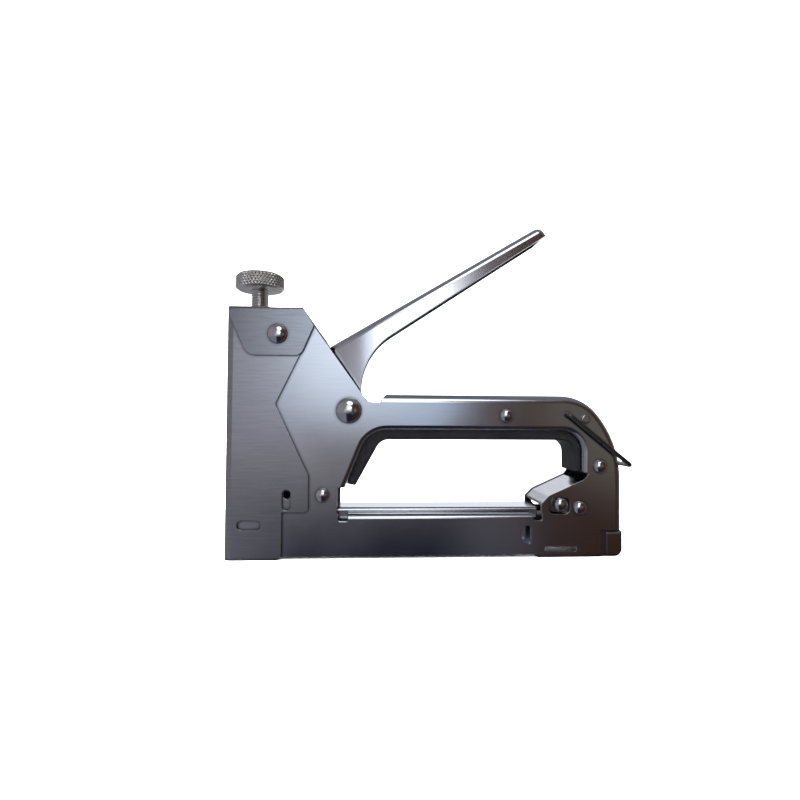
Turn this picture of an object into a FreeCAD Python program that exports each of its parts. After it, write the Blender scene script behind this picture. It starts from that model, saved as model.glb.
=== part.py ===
"""Hand staple gun, a parametric document in millimetres.

Every outline is drawn from the front face of the nose (x = 0, rising to the rear), from the
centre plane (y = 0) and from the nose face that rests on the work (z = 0).  The placement of
each sub-part then shifts it forward by half the front wall, so that the origin lies in the
middle of the front wall's lower edge, where the staples come out.
"""
import FreeCAD, Part
import math
import os
import re
import Sketcher
from FreeCAD import Placement, Rotation, Vector

# ---------------------------------------------------------------- driving dimensions
DIMENSIONS = {
    # overall
    "gun_length": 173.3,
    "tower_top": 107.0,
    "handle_top": 70.8,
    "shell_half": 12.7,
    "belly": 1.2,
    # sheet thicknesses and bends
    "shell_wall": 1.2,
    "housing_wall": 0.9,
    "cap_wall": 0.8,
    "handle_bend": 3.4,
    "grip_bend": 2.0,
    "nose_bend": 3.0,
    # clearances
    "seat_gap": 0.05,
    "slide_gap": 0.3,
    "seam_gap": 0.1,
    # tower
    "nose_foot": 22.6,
    "housing_waist": 21.0,
    "tower_back": 31.9,
    "shoulder": 60.6,
    "shoulder_drop": 3.6,
    # grip opening, front and lower sides from the nose, rear side from the rear edge
    "grip_front": 48.6,
    "grip_roof": 55.3,
    "grip_floor": 19.0,
    "grip_rear": 17.5,
    "insert_depth": 4.4,
    "insert_half": 9.0,
    # rivets
    "pivot_along": 52.3,
    "pivot_up": 63.6,
    "pivot_pin": 3.5,
    "pivot_head": 5.5,
    "cap_pin": 2.4,
    "cap_head": 4.2,
    "rivet_pin": 1.8,
    "rivet_head": 2.9,
    "latch_pin_size": 1.6,
    "spacer_wall": 1.3,
    # lever
    "lever_half": 7.0,
    "lever_wall": 1.5,
    "lever_ridge": 3.0,
    "claw_tip": 2.6,
    # striker and drive spring
    "screw_along": 11.1,
    "blade_thick": 1.0,
    "blade_half": 5.6,
    "blade_foot": 0.4,
    "block_foot": 30.0,
    "block_top": 58.0,
    "block_rear": 20.0,
    "drive_coil": 5.6,
    "drive_wire": 1.8,
    "drive_turns": 8,
    "seat_drop": 8.1,
    # tension screw
    "screw_size": 3.8,
    "knob_size": 10.75,
    "knob_lift": 10.8,
    "knob_tall": 7.1,
    "nut_tall": 5.0,
    # magazine
    "channel_half": 7.5,
    "channel_top": 21.0,
    "channel_wall": 1.0,
    "rail_half": 4.8,
    "rail_top": 17.0,
    "rail_floor": 2.3,
    "rod_size": 1.2,
    "rod_up": 9.0,
    "end_length": 10.2,
    "end_tall": 11.2,
    "pusher_length": 14.0,
    # bail
    "bail_wire": 1.0,
    "bail_gap": 1.1,
    "bail_reach": 35.2,
}

doc = FreeCAD.newDocument("staple_gun")
sheet = doc.addObject("Spreadsheet::Sheet", "Dims")
for row, (alias, number) in enumerate(DIMENSIONS.items(), start=1):
    sheet.set("A%d" % row, alias)
    sheet.set("B%d" % row, str(number))
    sheet.setAlias("B%d" % row, alias)
doc.recompute()

ALIAS = re.compile(r"\b(" + "|".join(DIMENSIONS) + r")\b")


def bound(text):
    """The expression that reads the named sizes in text from the sheet."""
    return ALIAS.sub(r"Dims.\1", str(text))


def size(text):
    """The present value of an expression."""
    return float(sheet.evalExpression(bound(text)))


# ---------------------------------------------------------------- sketches and features
def new_body(label):
    """A body that is shifted with the rest, so that its sketches count from the nose."""
    body = doc.addObject("PartDesign::Body", label)
    body.Label = label
    body.setExpression("Placement.Base.x", bound("-housing_wall / 2"))
    return body


def new_sketch(body, name, plane="XZ_Plane", offset=None):
    sketch = body.newObject("Sketcher::SketchObject", body.Label + "_" + name)
    origin_plane = [item for item in body.Origin.OriginFeatures if item.Role == plane][0]
    sketch.AttachmentSupport = [(origin_plane, "")]
    sketch.MapMode = "FlatFace"
    if offset:
        sketch.setExpression("AttachmentOffset.Base.z", bound(offset))
    return sketch


def pin_point(sketch, index, end, across, upward):
    """Fix one point of a sketch at two expressions."""
    for kind, text in (("DistanceX", across), ("DistanceY", upward)):
        number = sketch.addConstraint(Sketcher.Constraint(kind, index, end, size(text)))
        sketch.setExpression("Constraints[%d]" % number, bound(text))


def draw_loop(sketch, corners):
    """A closed outline through corners (across, upward[, radius]) given as expressions."""
    points = [Vector(size(corner[0]), size(corner[1]), 0) for corner in corners]
    radii = [size(corner[2]) if len(corner) > 2 else 0.0 for corner in corners]
    count = len(points)
    starts, ends, bends = [], [], []
    for here in range(count):
        back = (points[here - 1] - points[here]).normalize()
        onward = (points[(here + 1) % count] - points[here]).normalize()
        half_angle = back.getAngle(onward) / 2
        reach = radii[here] / math.tan(half_angle) if radii[here] else 0.0
        ends.append(points[here] + back * reach)
        starts.append(points[here] + onward * reach)
        left_turn = back.cross(onward).z < 0
        middle = (back + onward).normalize() if radii[here] else Vector()
        centre = points[here] + middle * (radii[here] / math.sin(half_angle))
        bends.append((centre, left_turn))
    lines = []
    for here in range(count):
        line = Part.LineSegment(starts[here], ends[(here + 1) % count])
        lines.append(sketch.addGeometry(line, False))
    for here in range(count):
        before, after = lines[here - 1], lines[here]
        if not radii[here]:
            sketch.addConstraint(Sketcher.Constraint("Coincident", before, 2, after, 1))
            pin_point(sketch, after, 1, *corners[here][:2])
            continue
        centre, left_turn = bends[here]
        first, last = (ends[here], starts[here]) if left_turn else (starts[here], ends[here])
        first_angle = math.atan2(first.y - centre.y, first.x - centre.x)
        last_angle = math.atan2(last.y - centre.y, last.x - centre.x)
        if last_angle < first_angle:
            last_angle += 2 * math.pi
        circle = Part.Circle(centre, Vector(0, 0, 1), radii[here])
        arc = Part.ArcOfCircle(circle, first_angle, last_angle)
        curve = sketch.addGeometry(arc, False)
        near_end = 1 if left_turn else 2
        sketch.addConstraint(Sketcher.Constraint("Tangent", before, 2, curve, near_end))
        sketch.addConstraint(Sketcher.Constraint("Tangent", after, 1, curve, 3 - near_end))
        number = sketch.addConstraint(Sketcher.Constraint("Radius", curve, radii[here]))
        sketch.setExpression("Constraints[%d]" % number, bound(corners[here][2]))
        corner = sketch.addGeometry(Part.Point(points[here]), True)
        pin_point(sketch, corner, 1, *corners[here][:2])
        sketch.addConstraint(Sketcher.Constraint("PointOnObject", corner, 1, before))
        sketch.addConstraint(Sketcher.Constraint("PointOnObject", corner, 1, after))


def draw_circle(sketch, across, upward, radius):
    centre = Vector(size(across), size(upward), 0)
    index = sketch.addGeometry(Part.Circle(centre, Vector(0, 0, 1), size(radius)), False)
    pin_point(sketch, index, 3, across, upward)
    number = sketch.addConstraint(Sketcher.Constraint("Radius", index, size(radius)))
    sketch.setExpression("Constraints[%d]" % number, bound(radius))


def box_loop(left, right, low, high, radius=None):
    """The four corners of an upright rectangle."""
    corners = [(left, low), (left, high), (right, high), (right, low)]
    if radius is None:
        return corners
    return [corner + (radius,) for corner in corners]


def inset(corners, distance, sign=1):
    """Corners of a clockwise outline moved inward (sign 1) or outward (-1) by a distance."""
    points = [Vector(size(corner[0]), size(corner[1]), 0) for corner in corners]
    moved = []
    for here, corner in enumerate(corners):
        arriving = (points[here] - points[here - 1]).normalize()
        leaving = (points[(here + 1) % len(points)] - points[here]).normalize()
        inward = Vector(arriving.y, -arriving.x, 0)
        turn = arriving.x * leaving.y - arriving.y * leaving.x
        slope = turn / (1 + arriving.dot(leaving))
        shift = (inward + arriving * slope) * sign
        new = ["%s + (%s) * %.6f" % (corner[0], distance, shift.x),
               "%s + (%s) * %.6f" % (corner[1], distance, shift.y)]
        if len(corner) > 2:
            bulge = -1 if turn < 0 else 1
            new.append("%s + (%s) * %d" % (corner[2], distance, bulge * sign))
        moved.append(tuple(new))
    return moved


def add_feature(body, kind, sketch, length=None, **settings):
    """A pad, pocket, revolution or groove on a sketch; lengths are expressions."""
    feature = body.newObject("PartDesign::" + kind, sketch.Name + "_" + kind.lower())
    feature.Profile = sketch
    sketch.Visibility = False
    if length is not None:
        feature.setExpression("Length", bound(length))
    for name, setting in settings.items():
        setattr(feature, name, setting)
    body.Tip = feature
    doc.recompute()
    return require(feature)


def pad(body, name, loops, length, plane="XZ_Plane", offset=None, **settings):
    sketch = new_sketch(body, name, plane, offset)
    for loop in loops:
        draw_loop(sketch, loop)
    return add_feature(body, "Pad", sketch, length, **settings)


def pocket(body, name, loops, length=None, circles=(), plane="XZ_Plane", offset=None, **settings):
    """A pocket that has to take material away."""
    sketch = new_sketch(body, name, plane, offset)
    for loop in loops:
        draw_loop(sketch, loop)
    for circle in circles:
        draw_circle(sketch, *circle)
    if length is None:
        settings.setdefault("Type", "ThroughAll")
        settings.setdefault("SideType", "Symmetric")
    settings.setdefault("Reversed", plane == "XZ_Plane")
    before = body.Shape.Volume
    feature = add_feature(body, "Pocket", sketch, length, **settings)
    if feature.Shape.isNull() or not body.Shape.Volume < before - 1e-3:
        raise ValueError("%s cuts nothing" % feature.Name)
    return feature


def fillet(body, name, radius, chosen):
    """Round the edges of the tip that the test named chosen accepts by their middle point."""
    tip = body.Tip
    names = []
    for number, edge in enumerate(tip.Shape.Edges, start=1):
        middle = edge.valueAt((edge.FirstParameter + edge.LastParameter) / 2)
        if chosen(middle, edge):
            names.append("Edge%d" % number)
    if not names:
        raise ValueError("%s %s finds no edge" % (body.Label, name))
    feature = body.newObject("PartDesign::Fillet", body.Label + "_" + name)
    feature.Base = (tip, names)
    feature.setExpression("Radius", bound(radius))
    body.Tip = feature
    doc.recompute()
    return require(feature)


def require(feature):
    """Stop when a feature fails, because a document recomputes without raising."""
    if "Invalid" in feature.State or feature.Shape.isNull() or not feature.Shape.isValid():
        raise ValueError("%s fails: %s" % (feature.Name, feature.getStatusString()))
    return feature


def near(first, second, slack=0.02):
    return abs(first - second) < slack


def turned(label, along, upward, profile, axis="Y"):
    """A round piece: profile (radius, distance along its axis) turned about y or z."""
    body = doc.addObject("PartDesign::Body", label)
    body.Label = label
    body.setExpression("Placement.Base.x", bound("%s - housing_wall / 2" % along))
    body.setExpression("Placement.Base.z", bound(upward))
    plane = "XY_Plane" if axis == "Y" else "XZ_Plane"
    sketch = new_sketch(body, "profile", plane)
    draw_loop(sketch, profile)
    add_feature(body, "Revolution", sketch, ReferenceAxis=(sketch, ["V_Axis"]), Angle=360.0)
    return body


# ---------------------------------------------------------------- outlines shared by pieces
def slope_of_tower():
    """Unit steps down the sloping rear edge of the tower, and square to it."""
    run = size("shoulder - tower_back")
    fall = size("handle_top - shoulder_drop - tower_top")
    span = math.hypot(run, fall)
    return run / span, fall / span


SLOPE_RUN, SLOPE_FALL = slope_of_tower()
HANDLE_START = "shoulder - shoulder_drop * %.6f" % (-SLOPE_RUN / SLOPE_FALL)

REAR_CORNERS = [
    ("gun_length - 17.04", "handle_top", "21.5"),
    ("gun_length - 2.7", "handle_top - 17.1", "44"),
    ("gun_length", "handle_top - 32.8", "40"),
]

SHELL_OUTLINE = [
    ("nose_bend + 0.2", "belly"),
    ("nose_bend + 0.2", "tower_top"),
    ("tower_back", "tower_top"),
    (HANDLE_START, "handle_top"),
    *REAR_CORNERS,
    ("gun_length", "end_tall + slide_gap"),
    ("gun_length - end_length", "end_tall + slide_gap"),
    ("gun_length - end_length", "0"),
    ("gun_length - 37.8", "0"),
    ("gun_length - 40.0", "belly"),
]

# the rear of the opening is cut along the slope over the release latch
GRIP_OUTLINE = [
    ("grip_front - 1.0", "grip_floor"),
    ("grip_front - 1.0", "grip_roof - 24.9"),
    ("grip_front + 2.2", "grip_roof - 24.9"),
    ("grip_front + 12.2", "grip_roof", "12"),
    ("gun_length - grip_rear", "grip_roof", "9"),
    ("gun_length - grip_rear", "grip_roof - 18.3"),
    ("gun_length - grip_rear + 2.3", "grip_roof - 18.7"),
    ("gun_length - grip_rear + 0.5", "grip_roof - 21.3"),
    ("gun_length - grip_rear - 15.5", "grip_roof - 28.4", "4"),
    ("gun_length - grip_rear - 19.0", "grip_roof - 32.0", "2"),
    ("gun_length - grip_rear - 19.0", "grip_floor"),
]

RIVETS = {
    "cap_rivet": ("21.8", "tower_top - 10.8", "cap_pin"),
    "front_rivet": ("41.3", "27.3", "rivet_pin"),
    "handle_rivet": ("gun_length - 52.0", "handle_top - 9.0", "rivet_pin"),
    "rear_rivet": ("gun_length - 10.1", "39.6", "rivet_pin"),
}
CAP_RIVET_HOLE = ("21.8", "tower_top - 10.8", "cap_pin + 0.02")
PIVOT = ("pivot_along", "pivot_up")
LATCH_PIVOT = ("gun_length - 19.3", "grip_floor + 2.5")
LATCH_PIN = ("gun_length - 28.0", "grip_floor + 4.0")
BAIL_PIVOT = ("gun_length - 24.8", "handle_top - 8.3")


# ---------------------------------------------------------------- side shells
def left_shell():
    """Pressed side plate with flanges turned in along the handle, the rear and the grip."""
    body = new_body("left_shell")
    deep = "shell_half - seam_gap / 2"
    pad(body, "plate", [SHELL_OUTLINE], deep, offset="seam_gap / 2")
    pocket(body, "grip", [GRIP_OUTLINE])
    pocket(body, "relief", [
        box_loop("grip_front - 0.5", "grip_front + 3.7", "grip_floor - 3.1", "grip_floor + 1",
                 "0.8"),
        box_loop("gun_length - grip_rear - 22.6", "gun_length - grip_rear - 18.6",
                 "grip_floor - 3.1", "grip_floor + 1", "0.8"),
    ])

    face = -size("shell_half")
    floor_z, roof_z = size("grip_floor"), size("grip_roof")
    right_x = size("gun_length - grip_rear")

    def on_back(middle, edge):
        outside = middle.z > roof_z + 1 or middle.x > right_x + 3
        return (near(middle.y, face) and outside and middle.z > size("end_tall + 1")
                and middle.x > size(HANDLE_START) + 1)

    def on_grip(middle, edge):
        if not near(middle.y, face) or edge.Length < 1.5:
            return False
        lower_rim = near(middle.z, floor_z)
        upper_rim = middle.z > size("grip_roof - 17") and middle.x < right_x + 0.1
        front_rim = middle.x < size("grip_front + 14") and middle.z > size("grip_roof - 24")
        in_opening = size("grip_front") - 0.1 < middle.x and middle.z < roof_z + 0.1
        return in_opening and middle.x < right_x + 0.1 and (lower_rim or upper_rim or front_rim)

    fillet(body, "handle_round", "handle_bend", on_back)
    fillet(body, "grip_round", "grip_bend", on_grip)

    cavity = [("-9", "-9"), ("-9", "tower_top + 20"), ("shoulder + 4", "tower_top + 20"),
              ("shoulder + 4", "handle_top - shell_wall")]
    walls = inset([(HANDLE_START, "handle_top"), *REAR_CORNERS, ("gun_length", "-9")],
                  "shell_wall")
    cavity += walls[1:-1]
    cavity += [("gun_length - shell_wall", "-9")]
    rim = inset(GRIP_OUTLINE, "shell_wall", -1)
    pocket(body, "cavity", [cavity, rim], "shell_half - shell_wall")

    inner = -size("shell_half - shell_wall")

    def in_back(middle, edge):
        return (near(middle.y, inner) and middle.x > size("shoulder + 4.5")
                and (middle.z > roof_z + 3 or middle.x > right_x + 4)
                and middle.z > size("end_tall + 1") and edge.Length > 0.6)

    fillet(body, "handle_inside", "handle_bend - shell_wall", in_back)
    pocket(body, "flange_trim", [inset(GRIP_OUTLINE, "shell_wall + 0.4", -1)],
           "channel_half + 0.2")
    front_bare = box_loop("grip_front - 3", "grip_front + 3", "grip_floor - 3", "grip_roof - 24.8")
    rear_bare = [("gun_length - grip_rear - 24", "grip_floor - 3"),
                 ("gun_length - grip_rear - 24", "grip_roof - 26"),
                 ("gun_length - grip_rear - 4", "grip_roof - 18"),
                 ("gun_length - grip_rear + 6", "grip_roof - 18"),
                 ("gun_length - grip_rear + 6", "grip_floor - 3")]
    pocket(body, "bare_edges", [front_bare, rear_bare], "shell_half - shell_wall")
    pocket(body, "shoulder_cut", [[
        ("shoulder - 6", "handle_top - shoulder_drop + 6 * %.6f" % (-SLOPE_FALL / SLOPE_RUN)),
        ("shoulder", "handle_top - shoulder_drop", "6"),
        ("shoulder + 5.6", "handle_top - shoulder_drop"),
        ("shoulder + 5.6", "handle_top - 2.2"),
        ("shoulder + 8.8", "handle_top + 1.0"),
        ("shoulder + 8.8", "tower_top"),
        ("shoulder - 6", "tower_top"),
    ]])
    pocket(body, "magazine_door", [
        box_loop("channel_half + 0.6", "-channel_half - 0.6", "-1", "channel_top + 1.6")],
        "4", plane="YZ_Plane", offset="gun_length + 1")

    holes = [(along, upward, radius + " + 0.02") for along, upward, radius in RIVETS.values()]
    holes += [PIVOT + ("pivot_pin + 0.02",), LATCH_PIVOT + ("latch_pin_size + 0.02",),
              BAIL_PIVOT + ("bail_wire + 0.05",)]
    pocket(body, "rivet_holes", [], circles=holes)
    pocket(body, "windows", [
        # window of the latch pin
        box_loop("gun_length - 33.3", "gun_length - 23.7", "grip_floor - 0.2",
                 "grip_floor + 6.9", "2.4"),
        # slot under the latch
        box_loop("gun_length - 35.2", "gun_length - 20.8", "2.5", "4.7", "1.05"),
        # stop slot of the magazine rail
        [("gun_length - 41.2", "5.9", "1"), ("gun_length - 45.6", "5.9", "3.2"),
         ("gun_length - 45.6", "13.7", "3.2"), ("gun_length - 41.2", "13.7", "1")],
        # hole behind the nose slot
        box_loop("24.7", "27.7", "25.6", "29.2", "1.4"),
        # seats of the tension nut
        box_loop("screw_along - 3.2", "screw_along + 3.2", "tower_top - 4.6", "tower_top - 1.4"),
    ])
    detent = new_sketch(body, "detent", offset="shell_half - 0.1")
    draw_circle(detent, "gun_length - 16.7", "handle_top - 10.3", "2.0")
    add_feature(body, "Pad", detent, "0.8")
    fillet(body, "detent_round", "0.65",
           lambda middle, edge: middle.y < face - 0.6 and edge.Length > 10)
    return body


def right_shell(source):
    """The mirror image of the left shell."""
    mirror = doc.addObject("Part::Mirroring", "right_shell")
    mirror.Label = "right_shell"
    mirror.Source = source
    mirror.Base = Vector(0, 0, 0)
    mirror.Normal = Vector(0, 1, 0)
    return mirror


# ---------------------------------------------------------------- front housing and cap
def front_housing():
    """Sheet folded round the front of both shells, with a tab over the top cap."""
    body = new_body("front_housing")
    over_cap = "tower_top + cap_wall + housing_wall"
    outline = [
        ("0", "0"), ("0", over_cap), ("17.5", over_cap), ("17.5", "tower_top"),
        ("tower_back", "tower_top"),
        ("tower_back + %.6f" % (9.0 * SLOPE_RUN), "tower_top + %.6f" % (9.0 * SLOPE_FALL)),
        ("housing_waist", "66.2", "2"), ("35.4", "35.6", "2"), ("35.4", "20.1", "1.8"),
        ("24.3", "20.1"), ("24.3", "1.6"), ("nose_foot", "0"),
    ]
    pad(body, "wrap", [outline], "2 * (shell_half + housing_wall)", SideType="Symmetric")
    fillet(body, "nose_round", "nose_bend",
           lambda middle, edge: near(middle.x, 0) and edge.Length > 50)
    pocket(body, "inside", [[
        ("housing_wall", "-shell_half", "nose_bend - housing_wall"),
        ("housing_wall", "shell_half", "nose_bend - housing_wall"),
        ("50", "shell_half"), ("50", "-shell_half")]],
        "300", plane="XY_Plane", offset="tower_top + cap_wall")
    for side, first, last in (("left", "-shell_half - 3", "-shell_half + 2.6"),
                              ("right", "shell_half - 2.6", "shell_half + 3")):
        pocket(body, "tab_" + side, [box_loop(first, last, "tower_top", over_cap + " + 1")],
               plane="YZ_Plane")
    pocket(body, "slots", [
        box_loop("24.3", "28.1", "20.9", "29.7", "1.85"),
        box_loop("5.6", "15.6", "12.6", "16.8", "2.05")],
        circles=[CAP_RIVET_HOLE])
    pocket(body, "screw_hole", [], circles=[("screw_along", "0", "screw_size + 0.5")],
           plane="XY_Plane", length="20", offset="tower_top + 10")
    return body


def top_cap():
    """Plate over the tower with a flap on each side and a tongue down the rear slope."""
    body = new_body("top_cap")
    top = "tower_top + cap_wall"
    drop = 7.2
    flap = [
        ("housing_wall + 0.1", top), ("tower_back + %.4f" % 0.5, top),
        ("tower_back + %.6f" % (drop / -SLOPE_FALL * SLOPE_RUN), "tower_top - %.4f" % drop, "0.8"),
        ("31.6", "tower_top - 20.0", "4"), ("9.0", "tower_top - 20.0", "5"),
        ("2.0", "tower_top - 4.6"), ("housing_wall + 0.1", "tower_top - 2.4"),
    ]
    pad(body, "flaps", [flap], "2 * (shell_half + housing_wall + cap_wall)",
        SideType="Symmetric")
    pocket(body, "inside", [box_loop("-shell_half - housing_wall", "shell_half + housing_wall",
                                     "0", "tower_top")], plane="YZ_Plane")
    fillet(body, "flap_bend", "cap_wall + 0.5",
           lambda middle, edge: near(middle.z, size(top)) and edge.Length > 20
           and abs(middle.y) > 5)
    reach = 17.0
    wall = size("cap_wall")
    low_x, low_z = reach * SLOPE_RUN, reach * SLOPE_FALL
    lift = (1 - SLOPE_RUN) / SLOPE_FALL
    tongue = [
        ("tower_back - 2", "tower_top"), ("tower_back - 2", top),
        ("tower_back - cap_wall * %.6f" % lift, top),
        ("tower_back + %.6f" % (low_x - wall * SLOPE_FALL),
         "tower_top + %.6f" % (low_z + wall * SLOPE_RUN)),
        ("tower_back + %.6f" % low_x, "tower_top + %.6f" % low_z),
        ("tower_back", "tower_top"),
    ]
    pad(body, "tongue", [tongue], "2 * (shell_half - 1.2)", SideType="Symmetric")
    pocket(body, "screw_hole", [], circles=[("screw_along", "0", "screw_size + 0.5")],
           plane="XY_Plane", length="20", offset="tower_top + 10")
    pocket(body, "rivet_holes", [], circles=[CAP_RIVET_HOLE])
    return body


# ---------------------------------------------------------------- grip insert
def grip_insert():
    """Moulded liner of the grip opening, held between the flanges of the two shells."""
    body = new_body("grip_insert")
    rear = "gun_length - grip_rear"
    start_x, start_z = "grip_front + 2.8", "grip_roof - 23.6"
    outer = [
        (start_x, start_z), ("grip_front + 12.2 + seat_gap", "grip_roof - seat_gap", "12"),
        (rear + " - seat_gap", "grip_roof - seat_gap", "9"),
        (rear + " - seat_gap", "grip_roof - 18.2"),
    ]
    inner = [
        (rear + " - 2.4", "grip_roof - 18.2"), (rear + " - 2.4", "grip_roof - insert_depth", "6"),
        ("grip_front + 17.7", "grip_roof - insert_depth", "6"),
        ("grip_front + 6.8", "grip_roof - 24.4"),
    ]
    pad(body, "liner", [outer + inner], "2 * insert_half", SideType="Symmetric")
    lift = "(shell_wall + 1.6)"
    web = [
        ("grip_front + 4.2", "grip_roof - 20.0"),
        ("grip_front + 12.2 - %s * 0.66" % lift, "grip_roof + " + lift, "12 + " + lift),
        (rear + " + " + lift, "grip_roof + " + lift, "9 + " + lift),
        (rear + " + " + lift, "grip_roof - 10.0"),
        (rear + " - 1.2", "grip_roof - 10.0"),
        (rear + " - 1.2", "grip_roof - 1.2", "8"),
        ("grip_front + 13.0", "grip_roof - 1.2", "12"),
        ("grip_front + 5.5", "grip_roof - 20.0"),
    ]
    pad(body, "web", [web], "2 * (channel_half + 0.1)", SideType="Symmetric")
    fillet(body, "soft_rim", "1.6", lambda middle, edge: near(abs(middle.y), size("insert_half"))
           and middle.z < size("grip_roof - insert_depth") + 0.6
           and size("grip_front + 7.6") < middle.x < size(rear) - 2.0)
    return body


# ---------------------------------------------------------------- rivets and spacers
def rivet(label, along, upward, pin, head, tall, grip):
    """Shank with a domed head on each end; grip is the half thickness between the heads."""
    profile = [
        ("0", "-(%s) - %s" % (grip, tall)), (head + " * 0.55", "-(%s) - %s" % (grip, tall), "1.2"),
        (head, "-(%s) - %s * 0.35" % (grip, tall), "0.9"), (head, "-(%s)" % grip),
        (pin, "-(%s)" % grip), (pin, grip), (head, grip),
        (head, "%s + %s * 0.35" % (grip, tall), "0.9"),
        (head + " * 0.55", "%s + %s" % (grip, tall), "1.2"), ("0", "%s + %s" % (grip, tall)),
    ]
    return turned(label, along, upward, profile)


def all_rivets():
    shell_grip = "shell_half + seat_gap"
    cap_grip = "shell_half + housing_wall + cap_wall + seat_gap"
    made = [rivet("pivot_rivet", *PIVOT, "pivot_pin", "pivot_head", "2.9", shell_grip)]
    for label, (along, upward, pin) in RIVETS.items():
        head = "cap_head" if label == "cap_rivet" else "rivet_head"
        tall = "2.3" if label == "cap_rivet" else "1.7"
        grip = cap_grip if label == "cap_rivet" else shell_grip
        made.append(rivet(label, along, upward, pin, head, tall, grip))
    made.append(rivet("latch_rivet", *LATCH_PIVOT, "latch_pin_size", "rivet_head", "1.7",
                      shell_grip))
    made.append(rivet("latch_pin", *LATCH_PIN, "latch_pin_size", "rivet_head", "1.7",
                      "shell_half + slide_gap"))
    return made


def ring(label, along, upward, bore, outside, first, last):
    return turned(label, along, upward, [(bore, first), (outside, first), (outside, last),
                                         (bore, last)])


def spacers():
    """Tubes on the rivets that hold the shells apart, and the bushes beside the lever."""
    made = []
    gap = "shell_half - shell_wall - seat_gap"
    for label, (along, upward, pin) in RIVETS.items():
        name = label.replace("rivet", "spacer")
        made.append(ring(name, along, upward, pin + " + seat_gap",
                         pin + " + seat_gap + spacer_wall", "-(%s)" % gap, gap))
    for name, first, last in (("left_bush", "-(%s)" % gap, "-lever_half - seat_gap"),
                              ("right_bush", "lever_half + seat_gap", gap)):
        made.append(ring(name, *PIVOT, "pivot_pin + seat_gap", "pivot_pin + 3.2", first, last))
    return made


# ---------------------------------------------------------------- lever
RIDGE_RISE = 0.598


def lever():
    """Pressed channel, open underneath, that turns on the pivot rivet."""
    body = new_body("lever")
    dx, dz = "pivot_along", "pivot_up"
    outline = [
        (dx + " - 9.0", dz + " + 28.5", "3.6"),
        (dx + " + 86.4", dz + " + %.3f" % (28.5 + 95.4 * RIDGE_RISE), "3.6"),
        (dx + " + 89.6", dz + " + 81.2"),
        (dx + " + 5.9", dz + " + 25.9", "30"),
        (dx + " + 4.9", dz + " + 9.0", "4"),
        (dx + " + 8.0", dz + " + 3.0", "3"),
        (dx + " + 8.0", dz + " - 8.0", "7"),
        (dx + " - 26.0", dz + " - 15.4", "3"),
        (dx + " - 30.4", dz + " - 10.0", "2"),
        (dx + " - 27.5", dz + " - 4.5", "4"),
        (dx + " - 15.0", dz + " + 4.0"),
    ]
    pad(body, "channel", [outline], "2 * lever_half", SideType="Symmetric")
    side = size("lever_half")
    pivot_x, pivot_z = size(dx), size(dz)

    def on_ridge(middle, edge):
        rise = pivot_z + 28.5 + (middle.x - pivot_x + 9.0) * RIDGE_RISE
        return near(abs(middle.y), side) and near(middle.z, rise, 0.3) and edge.Length > 20

    fillet(body, "ridge_round", "lever_ridge", on_ridge)
    drop = "lever_wall * %.5f" % math.hypot(1, RIDGE_RISE)
    pocket(body, "inside", [[
        (dx + " - 40", dz + " + %.4f - %s" % (28.5 - 31 * RIDGE_RISE, drop)),
        (dx + " + 84.6", dz + " + %.4f - %s" % (28.5 + 93.6 * RIDGE_RISE, drop), "1.5"),
        (dx + " + 86.6", dz + " + 78"), (dx + " + 80", dz + " + 50"),
        (dx + " + 40", dz + " - 20"), (dx + " - 40", dz + " - 20")]],
        "2 * (lever_half - lever_wall)", SideType="Symmetric")
    pocket(body, "bores", [], circles=[
        PIVOT + ("pivot_pin + seat_gap",),
        (dx + " - 25.0", dz + " - 9.6", "1.5"), (dx + " - 17.5", dz + " - 7.4", "1.5")])
    return body


def lever_claw():
    """Hardened tongue, riveted between the lever's walls, that lifts the striker block."""
    body = new_body("lever_claw")
    dx, dz = "pivot_along", "pivot_up"
    outline = [
        (dx + " - 38.2", dz + " - 8.2", "claw_tip"), (dx + " - 38.0", dz + " - 13.6", "1.8"),
        (dx + " - 33.6", dz + " - 12.2", "1.5"), (dx + " - 28.0", dz + " - 11.2"),
        (dx + " - 27.5", dz + " - 13.2"), (dx + " - 14.0", dz + " - 10.0"),
        (dx + " - 14.0", dz + " - 3.6"), (dx + " - 28.0", dz + " - 7.8"),
    ]
    pad(body, "tongue", [outline], "2 * (lever_half - lever_wall - seat_gap)",
        SideType="Symmetric")
    pocket(body, "rivet_holes", [], circles=[
        (dx + " - 25.0", dz + " - 9.6", "1.52"), (dx + " - 17.5", dz + " - 7.4", "1.52")])
    return body


def claw_rivets():
    """The two flush rivets of the claw, one node of two solids."""
    pair = []
    for number, (along, upward) in enumerate((("-25.0", "-9.6"), ("-17.5", "-7.4")), start=1):
        pin = doc.addObject("Part::Cylinder", "claw_pin_%d" % number)
        pin.Radius = 1.48
        pin.setExpression("Height", bound("2 * lever_half + 1.0"))
        pin.Placement = Placement(Vector(), Rotation(Vector(1, 0, 0), 90))
        pin.setExpression("Placement.Base.x", bound("pivot_along + %s - housing_wall / 2" % along))
        pin.setExpression("Placement.Base.y", bound("lever_half + 0.5"))
        pin.setExpression("Placement.Base.z", bound("pivot_up + %s" % upward))
        pair.append(pin)
    group = doc.addObject("Part::Compound", "claw_rivets")
    group.Label = "claw_rivets"
    group.Links = pair
    return group


# ---------------------------------------------------------------- striker and drive spring
def striker_blade():
    body = new_body("striker_blade")
    pad(body, "blade", [box_loop("-blade_half", "blade_half", "blade_foot", "block_top - 4")],
        "blade_thick", plane="YZ_Plane", offset="housing_wall + 0.25")
    return body


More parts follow.
